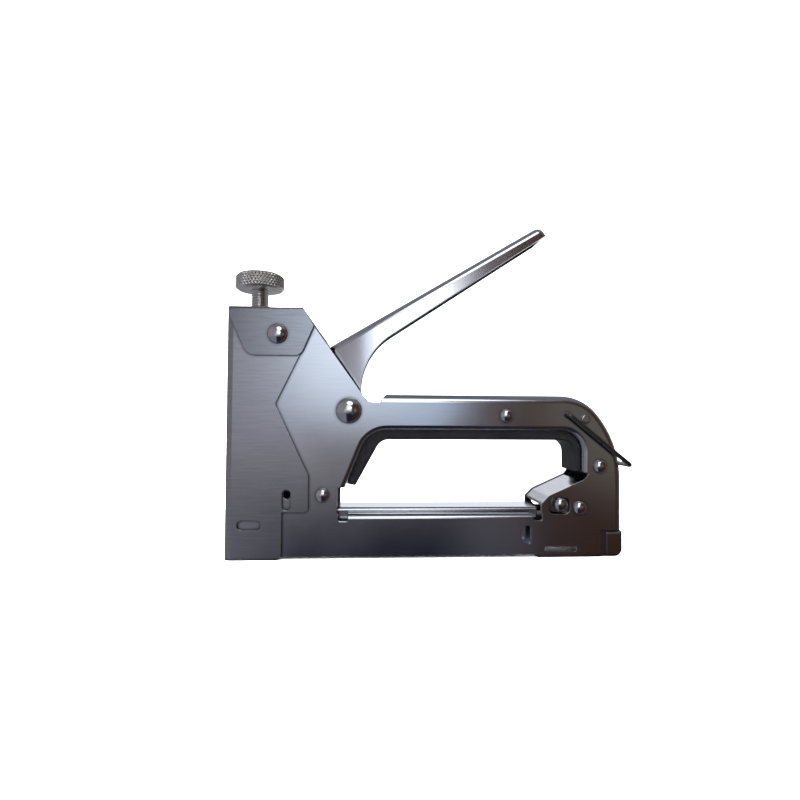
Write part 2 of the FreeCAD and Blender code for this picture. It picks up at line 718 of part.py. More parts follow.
def striker_block():
    """Block that carries the blade, slides between the shells and takes the claw."""
    body = new_body("striker_block")
    front = "housing_wall + 0.25 + blade_thick"
    wide = "shell_half - shell_wall - slide_gap"
    pad(body, "block", [box_loop(front, "block_rear", "block_foot", "block_top")],
        "2 * (%s)" % wide, SideType="Symmetric")
    claw_middle = "pivot_up - 10.9"
    low, high = claw_middle + " - claw_tip - 0.6", claw_middle + " + claw_tip + 0.6"
    pocket(body, "claw_window", [[
        ("pivot_along - 40.6", low), ("pivot_along - 40.6", high), ("block_rear + 2", high),
        ("block_rear + 2", low + " - 1.6"), ("pivot_along - 36.5", low)]],
        "2 * (lever_half - lever_wall + slide_gap)", SideType="Symmetric")
    boss = new_sketch(body, "boss", "XY_Plane", "block_top - 0.1")
    draw_circle(boss, "screw_along", "0", "drive_coil - drive_wire / 2 - 0.5")
    add_feature(body, "Pad", boss, "4.1")
    return body


def coil(label, radius, wire, turns, length, base, direction):
    """A helical spring of round wire from base along a direction."""
    height = length - wire
    helix = Part.makeHelix(height / turns, height, radius)
    start = Vector(radius, 0, 0)
    circle = Part.Wire(Part.Circle(start, Vector(0, 1, 0), wire / 2).toShape())
    solid = Part.Wire(helix.Edges).makePipeShell([circle], True, True)
    spring = doc.addObject("Part::Feature", label)
    spring.Label = label
    spring.Shape = solid
    turn = Rotation(Vector(0, 0, 1), direction)
    spring.Placement = Placement(base + direction * (wire / 2), turn)
    return spring


def drive_spring():
    foot = size("block_top + seat_gap")
    crown = size("tower_top - seat_drop - seat_gap")
    base = Vector(size("screw_along - housing_wall / 2"), 0, foot)
    return coil("drive_spring", size("drive_coil"), size("drive_wire"), size("drive_turns"),
                crown - foot, base, Vector(0, 0, 1))


def spring_seat():
    """Flanged button between the drive spring and the tip of the tension screw."""
    inside = "drive_coil - drive_wire / 2 - 0.5"
    return turned("spring_seat", "screw_along", "tower_top - seat_drop", [
        ("0", "-4.0"), (inside, "-4.0", "0.6"), (inside, "0"),
        ("drive_coil + drive_wire / 2 + 0.3", "0"), ("drive_coil + drive_wire / 2 + 0.3", "1.8"),
        ("0", "1.8")], axis="Z")


def tension_nut():
    """Threaded bar across the tower, with a tenon in each shell."""
    body = new_body("tension_nut")
    wide = "shell_half - shell_wall - seat_gap"
    low, high = "tower_top - seat_gap - nut_tall", "tower_top - seat_gap"
    pad(body, "bar", [box_loop("screw_along - 6.5", "screw_along + 6.5", low, high)],
        "2 * (%s)" % wide, SideType="Symmetric")
    pad(body, "tenons", [box_loop("screw_along - 3.15", "screw_along + 3.15",
                                  "tower_top - 4.55", "tower_top - 1.45")],
        "2 * (shell_half - 0.1)", SideType="Symmetric")
    pocket(body, "thread_bore", [], circles=[("screw_along", "0", "screw_size + seat_gap")],
           plane="XY_Plane", length="20", offset="tower_top + 10")
    return body


def tension_screw():
    """Knurled knob and threaded shank in one piece."""
    foot = "tower_top - seat_drop + 1.8 + seat_gap"
    under = "knob_lift + seat_drop - 1.8 - seat_gap"
    return turned("tension_screw", "screw_along", foot, [
        ("0", "0"), ("screw_size - 0.8", "0"), ("screw_size", "0.8"), ("screw_size", under),
        ("knob_size - 1.0", under), ("knob_size", under + " + 0.9"),
        ("knob_size", under + " + knob_tall - 1.2"),
        ("knob_size - 1.2", under + " + knob_tall"), ("0", under + " + knob_tall")], axis="Z")


def bumper():
    body = new_body("bumper")
    pad(body, "pad", [box_loop("4.0", "block_rear - 1.0", "channel_top + seat_gap",
                               "block_foot - seat_gap", "1")],
        "2 * (shell_half - shell_wall - 0.4)", SideType="Symmetric")
    return body


# ---------------------------------------------------------------- magazine
CHANNEL_FRONT = "housing_wall + 0.25 + blade_thick + 0.3"


def magazine_channel():
    """Fixed staple guide: a tube of C section, open along its lower side."""
    body = new_body("magazine_channel")
    rear = "gun_length - 36.9"
    length = "%s - (%s)" % (rear, CHANNEL_FRONT)
    pad(body, "tube", [box_loop("-channel_half", "channel_half", "belly + 0.2", "channel_top",
                                "1.2")], length, plane="YZ_Plane", offset=CHANNEL_FRONT)
    pocket(body, "bore", [box_loop("-channel_half + channel_wall", "channel_half - channel_wall",
                                   "belly + 0.2 + 0.8", "channel_top - channel_wall", "0.4")],
           plane="YZ_Plane")
    pocket(body, "slot", [box_loop("-3", "3", "0", "rail_floor + 1")], plane="YZ_Plane")
    return body


def staple_rail():
    """Sliding core of the magazine, an upside-down channel that carries the staples."""
    body = new_body("staple_rail")
    front = CHANNEL_FRONT + " + 0.5"
    rear = "gun_length - end_length - 0.6"
    pad(body, "core", [box_loop("-rail_half", "rail_half", "rail_floor", "rail_top", "0.6")],
        "%s - (%s)" % (rear, front), plane="YZ_Plane", offset=front)
    pocket(body, "hollow", [box_loop(front + " + 1.2", rear + " + 5", "0", "rail_top - 1.0")],
           "2 * (rail_half - 1.0)", SideType="Symmetric")
    pocket(body, "pusher_slot", [box_loop(front + " + 2.0", rear + " - 30", "-1.2", "1.2", "1.1")],
           "4", plane="XY_Plane", offset="rail_top + 1")
    return body


def magazine_end():
    """Rear handle of the rail: lower corner of the gun, with a plug that joins the rail."""
    body = new_body("magazine_end")
    front = "gun_length - end_length + slide_gap"
    pad(body, "corner", [[(front, "0"), (front, "end_tall"), ("gun_length", "end_tall", "0.5"),
                          ("gun_length", "0", "3.5")]], "2 * shell_half", SideType="Symmetric")
    fillet(body, "corner_round", "1.2", lambda middle, edge: near(abs(middle.y), size("shell_half"))
           and middle.x > size("gun_length - 3.6") and middle.z < size("end_tall - 0.6"))
    for side, first, last in (("left", "-shell_half - 1", "-shell_half + 0.7"),
                              ("right", "shell_half - 0.7", "shell_half + 1")):
        pocket(body, "neck_" + side, [box_loop(front + " - 1", "gun_length - 7.3", first, last)],
               plane="XY_Plane")
    pad(body, "plug", [[(front + " + 0.4", "1"), (front + " + 0.4", "channel_top - 0.5", "1"),
                        ("gun_length - 0.4", "channel_top - 0.5", "2"), ("gun_length - 0.4", "5")]],
        "2 * channel_half", SideType="Symmetric")
    pad(body, "tongue", [box_loop("gun_length - end_length - 6", front + " + 1", "rail_floor",
                                  "rail_top - 1.0 - seat_gap")],
        "2 * (rail_half - 1.0 - seat_gap)", SideType="Symmetric")
    pocket(body, "rod_hole", [], circles=[("0", "rod_up", "rod_size + 0.02")],
           length="20", plane="YZ_Plane", offset="gun_length - end_length + 2")
    return body


def pusher():
    """Saddle that rides on the rail and presses the staples forward."""
    body = new_body("pusher")
    front = CHANNEL_FRONT + " + 1.2"
    pad(body, "saddle", [box_loop("-channel_half + channel_wall + slide_gap",
                                  "channel_half - channel_wall - slide_gap",
                                  "rail_top - 6", "channel_top - channel_wall - 0.8", "0.5")],
        "pusher_length", plane="YZ_Plane", offset=front)
    pocket(body, "fork", [box_loop("-rail_half - 0.15", "rail_half + 0.15", "0",
                                   "rail_top + 0.15")], plane="YZ_Plane")
    pad(body, "neck", [box_loop("-0.9", "0.9", "rod_up", "rail_top + 1")], "8",
        plane="YZ_Plane", offset=front + " + 3")
    pad(body, "shoe", [box_loop("-rail_half + 1.3", "rail_half - 1.3", "rod_up - 3.2",
                                "rod_up + 3.4")], "8", plane="YZ_Plane", offset=front + " + 3")
    pocket(body, "rod_bore", [], circles=[("0", "rod_up", "rod_size + seat_gap")],
           plane="YZ_Plane")
    return body


def pusher_rod():
    """Guide of the pusher spring, from the rail's front to the magazine end."""
    rod = doc.addObject("Part::Cylinder", "pusher_rod")
    rod.Label = "pusher_rod"
    front = CHANNEL_FRONT + " + 0.5 + 1.2 + 0.1"
    rod.setExpression("Radius", bound("rod_size"))
    rod.setExpression("Height", bound("gun_length - end_length + 1.5 - (%s)" % front))
    rod.Placement = Placement(Vector(), Rotation(Vector(0, 1, 0), 90))
    rod.setExpression("Placement.Base.x", bound(front + " - housing_wall / 2"))
    rod.setExpression("Placement.Base.z", bound("rod_up"))
    return rod


def pusher_spring():
    first = size(CHANNEL_FRONT + " + 1.2 + 3 + 8 + seat_gap - housing_wall / 2")
    last = size("gun_length - end_length - 6 - seat_gap - housing_wall / 2")
    return coil("pusher_spring", 2.3, 0.7, 26, last - first,
                Vector(first, 0, size("rod_up")), Vector(1, 0, 0))


# ---------------------------------------------------------------- release latch
def release_latch():
    """Thumb plate with two cheeks, which turns on the latch rivet."""
    body = new_body("release_latch")
    rear = "gun_length - grip_rear"
    outline = [
        (rear + " - 18.4", "grip_roof - 33.0", "1"), (rear + " - 18.4", "grip_roof - 31.9", "1"),
        (rear + " - 15.3", "grip_roof - 28.8", "3.6"), (rear + " + 0.1", "grip_roof - 21.8", "1"),
        (rear + " + 3.0", "grip_roof - 24.4", "2"), (rear + " + 10.6", "grip_floor + 6.2", "1"),
        (rear + " + 10.6", "channel_top - 0.5 + slide_gap"),
        (rear + " + 8.4", "channel_top - 0.5 + slide_gap"),
        (rear + " + 4.0", "grip_floor - 1.2", "2"), (rear + " - 13.6", "grip_floor + 0.8", "3"),
    ]
    wide = "shell_half - shell_wall - slide_gap"
    pad(body, "cheeks", [outline], "2 * (%s)" % wide, SideType="Symmetric")
    pocket(body, "inside", [[
        (rear + " - 25", "0"), (rear + " - 25", "grip_roof - 34.2"),
        (rear + " - 17.4", "grip_roof - 34.2"), (rear + " - 16.9", "grip_roof - 31.6", "1"),
        (rear + " - 14.9", "grip_roof - 29.8", "2.4"), (rear + " + 0.2", "grip_roof - 23.0"),
        (rear + " + 1.6", "grip_roof - 24.2"), (rear + " + 7.6", "grip_floor + 6.4"),
        (rear + " + 8.6", "grip_floor + 4"), (rear + " + 8.6", "0")]],
        "2 * (%s - 1.2)" % wide, SideType="Symmetric")
    pocket(body, "pin_holes", [], circles=[LATCH_PIVOT + ("latch_pin_size + seat_gap",),
                                           LATCH_PIN + ("latch_pin_size + 0.02",)])
    return body


def latch_spring():
    """Coil on the latch rivet."""
    base = Vector(size(LATCH_PIVOT[0] + " - housing_wall / 2"), -4.2, size(LATCH_PIVOT[1]))
    return coil("latch_spring", 2.3, 0.8, 7, 8.4, base, Vector(0, 1, 0))


def lever_spring():
    """Coil on the pivot rivet, between the lever's walls."""
    length = size("2 * (lever_half - lever_wall) - 0.8")
    base = Vector(size("pivot_along - housing_wall / 2"), -length / 2, size("pivot_up"))
    return coil("lever_spring", size("pivot_pin + 1.1"), 1.4, 6, length, base, Vector(0, 1, 0))


# ---------------------------------------------------------------- wire bail
def rounded_path(points, radius):
    """Straight runs through points, joined by tangent arcs."""
    edges = []
    here = points[0]
    for before, corner, after in zip(points, points[1:], points[2:]):
        back = (before - corner).normalize()
        onward = (after - corner).normalize()
        half_angle = back.getAngle(onward) / 2
        reach = radius / math.tan(half_angle)
        middle = (back + onward).normalize()
        bottom = corner + middle * (radius / math.sin(half_angle) - radius)
        edges.append(Part.LineSegment(here, corner + back * reach).toShape())
        edges.append(Part.Arc(corner + back * reach, bottom, corner + onward * reach).toShape())
        here = corner + onward * reach
    edges.append(Part.LineSegment(here, points[-1]).toShape())
    return Part.Wire(edges)


def wire_bail():
    """Bent wire loop behind the handle, hung in a hole of each shell."""
    pivot_x = size(BAIL_PIVOT[0] + " - housing_wall / 2")
    pivot_z = size(BAIL_PIVOT[1])
    leg_y = size("shell_half + bail_gap + bail_wire")
    end_y = size("shell_half - shell_wall + 0.2")
    angle = math.radians(-39.0)
    far_x = pivot_x + size("bail_reach") * math.cos(angle)
    far_z = pivot_z + size("bail_reach") * math.sin(angle)
    points = [Vector(pivot_x, -end_y, pivot_z), Vector(pivot_x, -leg_y, pivot_z),
              Vector(far_x, -leg_y, far_z), Vector(far_x, leg_y, far_z),
              Vector(pivot_x, leg_y, pivot_z), Vector(pivot_x, end_y, pivot_z)]
    path = rounded_path(points, size("bail_wire + 0.05"))
    circle = Part.Circle(points[0], Vector(0, 1, 0), size("bail_wire")).toShape()
    bail = doc.addObject("Part::Feature", "wire_bail")
    bail.Label = "wire_bail"
    bail.Shape = path.makePipeShell([Part.Wire(circle)], True, True)
    return bail


# ---------------------------------------------------------------- assembly and export
left = left_shell()
parts = [
    left, right_shell(left), front_housing(), top_cap(), grip_insert(),
    *all_rivets(), *spacers(), lever(), lever_claw(), claw_rivets(), lever_spring(),
    striker_blade(), striker_block(), drive_spring(), spring_seat(), tension_nut(),
    tension_screw(), bumper(), magazine_channel(), staple_rail(), magazine_end(), pusher(),
    pusher_rod(), pusher_spring(), release_latch(), latch_spring(), wire_bail(),
]
doc.recompute()

for item in doc.Objects:
    for state in ("Invalid", "Error"):
        if state in item.State:
            raise RuntimeError("%s is %s" % (item.Name, state))
for part in parts:
    if part.Shape.isNull() or not part.Shape.isValid() or not part.Shape.Solids:
        raise RuntimeError("%s has no valid solid" % part.Label)

os.makedirs("parts", exist_ok=True)
for part in parts:
    part.Shape.exportStep("parts/%s.step" % part.Label)
    box = part.Shape.BoundBox
    print("%-18s %2d solid(s) %9.1f mm3  x %7.2f..%7.2f  y %6.2f..%6.2f  z %6.2f..%6.2f" % (
        part.Label, len(part.Shape.Solids), part.Shape.Volume, box.XMin, box.XMax,
        box.YMin, box.YMax, box.ZMin, box.ZMax))
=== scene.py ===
import math

import bmesh
import bpy
from mathutils import Matrix, Vector


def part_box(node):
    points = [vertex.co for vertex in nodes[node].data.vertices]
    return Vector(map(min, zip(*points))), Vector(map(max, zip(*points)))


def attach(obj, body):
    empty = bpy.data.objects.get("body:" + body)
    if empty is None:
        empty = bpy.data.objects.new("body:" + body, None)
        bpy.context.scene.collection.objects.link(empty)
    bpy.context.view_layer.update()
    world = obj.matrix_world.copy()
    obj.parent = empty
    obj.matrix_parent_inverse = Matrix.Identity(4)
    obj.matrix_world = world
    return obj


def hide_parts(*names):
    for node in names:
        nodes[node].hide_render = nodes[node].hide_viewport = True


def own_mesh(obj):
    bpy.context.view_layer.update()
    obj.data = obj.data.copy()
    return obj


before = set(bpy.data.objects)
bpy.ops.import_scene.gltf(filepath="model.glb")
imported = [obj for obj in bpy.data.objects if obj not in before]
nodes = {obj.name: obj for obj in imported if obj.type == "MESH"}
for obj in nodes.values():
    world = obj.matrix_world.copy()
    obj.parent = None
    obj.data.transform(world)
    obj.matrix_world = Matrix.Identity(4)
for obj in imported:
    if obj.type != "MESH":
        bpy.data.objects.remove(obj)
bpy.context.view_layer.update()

scene = bpy.context.scene

MM = 0.001
EDGE_ROUNDING = 0.0003      # metres, shaded rounding of the sheet edges
PAINTED_SHADE_REACH = 0.0016         # metres, how far the painted shade in a seam or slot reaches
# Colour of the painted shade laid into seams, slots and grooves.
PAINTED_SHADE_COLOUR = (0.05, 0.05, 0.06)
ROOM_CENTRE = 0.07          # metres along x, a point under the gun


# ---------------------------------------------------------------- material helpers
class Tree:
    """A material's node tree with short names for what is used here."""

    def __init__(self, name):
        self.material = bpy.data.materials.new(name)
        self.material.use_nodes = True
        self.tree = self.material.node_tree
        self.shader = self.tree.nodes["Principled BSDF"]
        self.place = self.tree.nodes.new("ShaderNodeTexCoord").outputs["Object"]

    def node(self, kind, **settings):
        made = self.tree.nodes.new(kind)
        for name, setting in settings.items():
            setattr(made, name, setting)
        return made

    def link(self, source, target):
        self.tree.links.new(source, target)

    def feed(self, target, value):
        if hasattr(value, "links"):
            self.link(value, target)
        else:
            target.default_value = value

    def stretch(self, scale):
        mapping = self.node("ShaderNodeMapping")
        self.link(self.place, mapping.inputs["Vector"])
        mapping.inputs["Scale"].default_value = scale
        return mapping.outputs["Vector"]

    def noise(self, scale, detail=4.0, stretch=None):
        made = self.node("ShaderNodeTexNoise")
        made.inputs["Scale"].default_value = scale
        made.inputs["Detail"].default_value = detail
        made.inputs["Roughness"].default_value = 0.55
        self.link(self.stretch(stretch) if stretch else self.place, made.inputs["Vector"])
        return made.outputs["Fac"]

    def ramp(self, value, stops):
        made = self.node("ShaderNodeValToRGB")
        ramp = made.color_ramp
        while len(ramp.elements) < len(stops):
            ramp.elements.new(0.5)
        for element, (place, colour) in zip(ramp.elements, stops):
            element.position = place
            if isinstance(colour, (int, float)):
                colour = (colour, colour, colour)
            element.color = (*colour, 1.0)
        self.link(value, made.inputs["Fac"])
        return made.outputs["Color"]

    def span(self, value, low, high, out_low, out_high):
        made = self.node("ShaderNodeMapRange")
        self.link(value, made.inputs["Value"])
        for name, number in (("From Min", low), ("From Max", high), ("To Min", out_low),
                             ("To Max", out_high)):
            made.inputs[name].default_value = number
        return made.outputs["Result"]

    def mix(self, factor, first, second, blend="MIX"):
        made = self.node("ShaderNodeMix", data_type="RGBA", blend_type=blend)
        self.feed(made.inputs[0], factor)
        for target, colour in ((made.inputs[6], first), (made.inputs[7], second)):
            if isinstance(colour, (int, float)):
                colour = (colour, colour, colour, 1.0)
            elif isinstance(colour, tuple) and len(colour) == 3:
                colour = (*colour, 1.0)
            self.feed(target, colour)
        return made.outputs[2]

    def axis(self, name):
        split = self.node("ShaderNodeSeparateXYZ")
        self.link(self.place, split.inputs[0])
        return split.outputs[name]

    def bump(self, height, strength, distance):
        """Fine relief, over edges that are shaded as if lightly rounded."""
        made = self.node("ShaderNodeBump")
        made.inputs["Strength"].default_value = strength
        made.inputs["Distance"].default_value = distance
        self.link(height, made.inputs["Height"])
        edge = self.node("ShaderNodeBevel", samples=6)
        edge.inputs["Radius"].default_value = EDGE_ROUNDING
        self.link(edge.outputs["Normal"], made.inputs["Normal"])
        return made.outputs["Normal"]

    def turn(self, ends, normal):
        """Shading of a flank that swells outward from one place along the object to another."""
        start, stop, rise = ends
        eased = self.node("ShaderNodeMapRange", interpolation_type="SMOOTHSTEP")
        eased.inputs["From Min"].default_value = start
        eased.inputs["From Max"].default_value = stop
        self.link(self.axis("X"), eased.inputs["Value"])
        made = self.node("ShaderNodeBump")
        made.inputs["Strength"].default_value = 1.0
        made.inputs["Distance"].default_value = rise
        self.link(eased.outputs["Result"], made.inputs["Height"])
        self.link(normal, made.inputs["Normal"])
        return made.outputs["Normal"]

    def crevice_shade_mask(self, deep, open_metal):
        """Mask for painted shade from ambient occlusion: 0 deep in a slot or seam, 1 on open metal.
        """
        hidden = self.node("ShaderNodeAmbientOcclusion", samples=6)
        hidden.inputs["Distance"].default_value = PAINTED_SHADE_REACH
        return self.span(hidden.outputs["AO"], deep, open_metal, 0.0, 1.0)


def plated(name, colour, roughness, grain, wear=0.25, direction=(1, 1, 14), turned=None,
           crevice_shade=(0.45, 0.92)):
    """Plated sheet: faint rolling lines, haze and fine handling marks, with painted shade darkening
    its seams, slots and grooves.
    """
    t = Tree(name)
    lines = t.noise(90.0, 5.0, direction)
    haze = t.noise(28.0, 3.0)
    marks = t.noise(900.0, 2.0, (1, 1, 0.25))
    tint = t.mix(t.span(haze, 0.3, 0.7, 0.0, 1.0), tuple(c * (1 - wear * 0.35) for c in colour),
                 colour)
    streaked_and_shaded = t.mix(0.12, tint, t.ramp(lines, [(0.3, 0.25), (0.7, 0.9)]), "OVERLAY")
    if crevice_shade:
        # Painted shade: ambient occlusion darkens seams, slots and grooves.
        streaked_and_shaded = t.mix(t.crevice_shade_mask(*crevice_shade), PAINTED_SHADE_COLOUR, streaked_and_shaded)
    t.link(streaked_and_shaded, t.shader.inputs["Base Color"])
    t.shader.inputs["Metallic"].default_value = 1.0
    rough = t.span(haze, 0.25, 0.75, roughness * (1 - wear), roughness * (1 + wear))
    t.link(rough, t.shader.inputs["Roughness"])
    height = t.mix(0.4, lines, marks)
    normal = t.bump(height, grain, 0.00008)
    if turned:
        normal = t.turn(turned, normal)
    t.link(normal, t.shader.inputs["Normal"])
    return t.material


def assign(material, *names):
    """Gives CAD pieces their finish."""
    for name in names:
        mesh = nodes[name].data
        mesh.materials.clear()
        mesh.materials.append(material)


# ---------------------------------------------------------------- finishes
housing_metal = plated("housing_metal", (0.56, 0.56, 0.59), 0.20, 0.05)
cap_metal = plated("cap_metal", (0.42, 0.43, 0.46), 0.20, 0.05)
shell_metal = plated("shell_metal", (0.72, 0.74, 0.79), 0.15, 0.05)
lever_metal = plated("lever_metal", (0.84, 0.85, 0.88), 0.14, 0.05, direction=(14, 1, 1),
                     turned=(0.030, 0.064, 0.0034))
channel_metal = plated("channel_metal", (0.74, 0.76, 0.80), 0.18, 0.05, direction=(1, 14, 14))
end_metal = plated("end_metal", (0.66, 0.66, 0.70), 0.18, 0.05)
latch_metal = plated("latch_metal", (0.55, 0.55, 0.58), 0.18, 0.05)
dome_metal = plated("dome_metal", (0.85, 0.85, 0.86), 0.08, 0.02, 0.15, crevice_shade=None)
# The knob's finish paints shade into its knurl and thread grooves.
knob_metal = plated("knob_metal", (1.0, 0.97, 0.92), 0.26, 0.03, 0.1, crevice_shade=(0.30, 0.66))
inner_metal = plated("inner_metal", (0.32, 0.32, 0.33), 0.38, 0.15)
hard_metal = plated("hard_metal", (0.22, 0.22, 0.24), 0.30, 0.12)
wire_metal = plated("wire_metal", (0.20, 0.20, 0.21), 0.30, 0.10)
bail_metal = plated("bail_metal", (0.26, 0.24, 0.22), 0.28, 0.10)


def plastic(name, colour, roughness, grain):
    """Moulded black plastic or rubber: a fine grain and broad patches of wear."""
    t = Tree(name)
    fine = t.noise(2600.0, 3.0)
    broad = t.noise(60.0, 3.0)
    t.link(t.mix(t.span(broad, 0.3, 0.7, 0.0, 1.0), colour, tuple(c * 1.6 for c in colour)),
           t.shader.inputs["Base Color"])
    t.link(t.span(broad, 0.3, 0.7, roughness - 0.06, roughness + 0.06),
           t.shader.inputs["Roughness"])
    t.shader.inputs["Specular IOR Level"].default_value = 0.2
    t.link(t.bump(fine, grain, 0.0001), t.shader.inputs["Normal"])
    return t.material


insert_plastic = plastic("insert_plastic", (0.004, 0.004, 0.005), 0.42, 0.25)
bumper_rubber = plastic("bumper_rubber", (0.015, 0.015, 0.015), 0.7, 0.35)

assign(housing_metal, "front_housing")
assign(cap_metal, "top_cap")
assign(shell_metal, "left_shell", "right_shell")
assign(lever_metal, "lever")
assign(channel_metal, "magazine_channel")
assign(end_metal, "magazine_end")
assign(latch_metal, "release_latch")
assign(dome_metal, "pivot_rivet", "cap_rivet", "front_rivet", "handle_rivet", "rear_rivet",
       "latch_rivet", "latch_pin")
assign(inner_metal, "cap_spacer", "front_spacer", "handle_spacer", "rear_spacer", "left_bush",
       "right_bush", "claw_rivets", "striker_block", "spring_seat", "tension_nut",
       "staple_rail", "pusher")
assign(hard_metal, "lever_claw", "striker_blade")
assign(wire_metal, "drive_spring", "lever_spring", "pusher_spring", "latch_spring",
       "pusher_rod")
assign(bail_metal, "wire_bail")
assign(insert_plastic, "grip_insert")
assign(bumper_rubber, "bumper")


# ---------------------------------------------------------------- mesh helpers
def skin(build, rings):
    """Faces between closed rings that have the same number of points."""
    count = len(rings[0])
    for first, second in zip(rings, rings[1:]):
        for step in range(count):
            after = (step + 1) % count
            build.faces.new((first[step], first[after], second[after], second[step]))


def finish_mesh(name, build, material, smooth_angle):
    """An object from a bmesh, smooth except at edges sharper than smooth_angle degrees."""
    mesh = bpy.data.meshes.new(name)
    bmesh.ops.recalc_face_normals(build, faces=build.faces)
    build.to_mesh(mesh)
    build.free()
    piece = bpy.data.objects.new(name, mesh)
    scene.collection.objects.link(piece)
    mesh.materials.append(material)
    for polygon in mesh.polygons:
        polygon.use_smooth = True
    mesh.set_sharp_from_angle(angle=math.radians(smooth_angle))
    return piece


def lathe(name, profile, centre, material):
    """A closed profile of (radius, distance along the axis), turned about y."""
    build = bmesh.new()
    steps = 72
    rings = []
    for radius, along in profile:
        ring = []
        for step in range(steps):
            turn = 2 * math.pi * step / steps
            point = Vector((radius * math.cos(turn), along, radius * math.sin(turn)))
            ring.append(build.verts.new(Vector(centre) + point * MM))
        rings.append(ring)
    skin(build, rings)
    bmesh.ops.remove_doubles(build, verts=build.verts, dist=1e-7)
    return finish_mesh(name, build, material, 50)


# ---------------------------------------------------------------- tension screw
def knurled_screw():
    """Knob with a crossed knurl between two chamfers, over a threaded shank."""
    low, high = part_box("tension_screw")
    centre_x = (low[0] + high[0]) / 2 / MM
    foot, top = low[2] / MM, high[2] / MM
    knob_radius = (high[0] - low[0]) / 2 / MM
    shank_radius, knob_thick, tip = 3.8, 7.1, 0.01
    under = top - knob_thick
    build = bmesh.new()
    steps, rows = 264, 30
    band_low, band_high = under + 0.85, top - 1.1
    rings = []

    def ring(radius_at, height):
        made = []
        for step in range(steps):
            turn = 2 * math.pi * step / steps
            radius = radius_at(turn, height)
            made.append(build.verts.new(((centre_x + radius * math.cos(turn)) * MM,
                                         radius * math.sin(turn) * MM, height * MM)))
        rings.append(made)

    teeth, groove_deep, flank = 44, 0.55, 1.35
    slant = math.tan(math.radians(33)) / knob_radius

    def off_groove(turn):
        """0 at the bottom of a groove, 1 midway between two."""
        return abs((teeth * turn / (2 * math.pi)) % 1.0 - 0.5) * 2

    def knurl(turn, height):
        rise = (height - band_low) * slant
        nearer = min(off_groove(turn + rise), off_groove(turn - rise))
        return knob_radius - groove_deep * max(1 - nearer * flank, 0.0)

    def plain(radius):
        return lambda turn, height: radius

    ring(plain(tip), foot)
    ring(plain(shank_radius - 0.8), foot)
    pitch, crest, root = 1.25, shank_radius, shank_radius - 0.42
    height = foot + 0.8
    ring(plain(crest - 0.1), height)
    while height + pitch < under - 0.7:
        for share, radius in ((0.06, crest), (0.19, crest), (0.5, root), (0.62, root),
                              (0.94, crest)):
            centre = height + share * pitch
            made = []
            for step in range(steps):
                turn = 2 * math.pi * step / steps
                lift = (turn / (2 * math.pi) - 0.5) * pitch
                place = min(max(centre + lift, foot + 0.5), under - 0.3)
                made.append(build.verts.new(((centre_x + radius * math.cos(turn)) * MM,
                                             radius * math.sin(turn) * MM, place * MM)))
            rings.append(made)
        height += pitch
    ring(plain(shank_radius - 0.1), under - 0.05)
    ring(plain(shank_radius + 1.2), under)
    ring(plain(knob_radius - 1.3), under)
    ring(plain(knob_radius - 1.0), under + 0.1)
    ring(plain(knob_radius - 0.35), under + 0.75)
    for row in range(rows + 1):
        ring(knurl, band_low + (band_high - band_low) * row / rows)
    ring(plain(knob_radius - 0.4), top - 0.95)
    ring(plain(knob_radius - 1.2), top - 0.12)
    ring(plain(knob_radius - 1.6), top)
    ring(plain(knob_radius - 4.2), top)
    ring(plain(knob_radius - 4.6), top - 0.12)
    ring(plain(tip), top - 0.12)
    skin(build, rings)
    piece = finish_mesh("knurled_screw", build, knob_metal, 28)
    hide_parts("tension_screw")
    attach(piece, "screw")


knurled_screw()


# ---------------------------------------------------------------- rivets
def domed_rivet(node, body):
    """The rivet with a rounded dome on each end, in the space of the CAD one."""
    low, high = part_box(node)
    centre = ((low[0] + high[0]) / 2, 0, (low[2] + high[2]) / 2)
    radius = (high[0] - low[0]) / 2 / MM
    half = high[1] / MM
    tall = {"pivot_rivet": 2.9, "cap_rivet": 2.3}.get(node, 1.7)
    pin = {"pivot_rivet": 3.5, "cap_rivet": 2.4}.get(node, 1.75)
    rim, lip, tip = 0.3, 0.05, 0.005
    seat = half - tall
    steps = 14
    dome = []
    for step in range(steps + 1):
        turn = math.pi / 2 * step / steps
        dome.append((max(radius * math.sin(turn), tip),
                     seat + rim + (tall - rim) * math.cos(turn) ** 0.9))
    profile = [(out, -along) for out, along in dome]
    profile += [(radius, -seat - lip), (radius - lip, -seat), (pin, -seat), (pin, seat),
                (radius - lip, seat), (radius, seat + lip)]
    profile += reversed(dome)
    piece = lathe(node + "_dome", profile, centre, dome_metal)
    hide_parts(node)
    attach(piece, body)


for rivet_node in ("pivot_rivet", "cap_rivet", "front_rivet", "handle_rivet", "rear_rivet",
                   "latch_rivet"):
    domed_rivet(rivet_node, "gun_body")
domed_rivet("latch_pin", "latch")


# ---------------------------------------------------------------- springs
def squeezed_spring(node, body):
    """A copy of the coil spring, attached to the body that holds it at one end."""
    piece = nodes[node].copy()
    piece.data = nodes[node].data.copy()
    piece.name = node + "_coil"
    scene.collection.objects.link(piece)
    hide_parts(node)
    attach(piece, body)
    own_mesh(piece)


squeezed_spring("drive_spring", "gun_body")
squeezed_spring("pusher_spring", "magazine_rail")


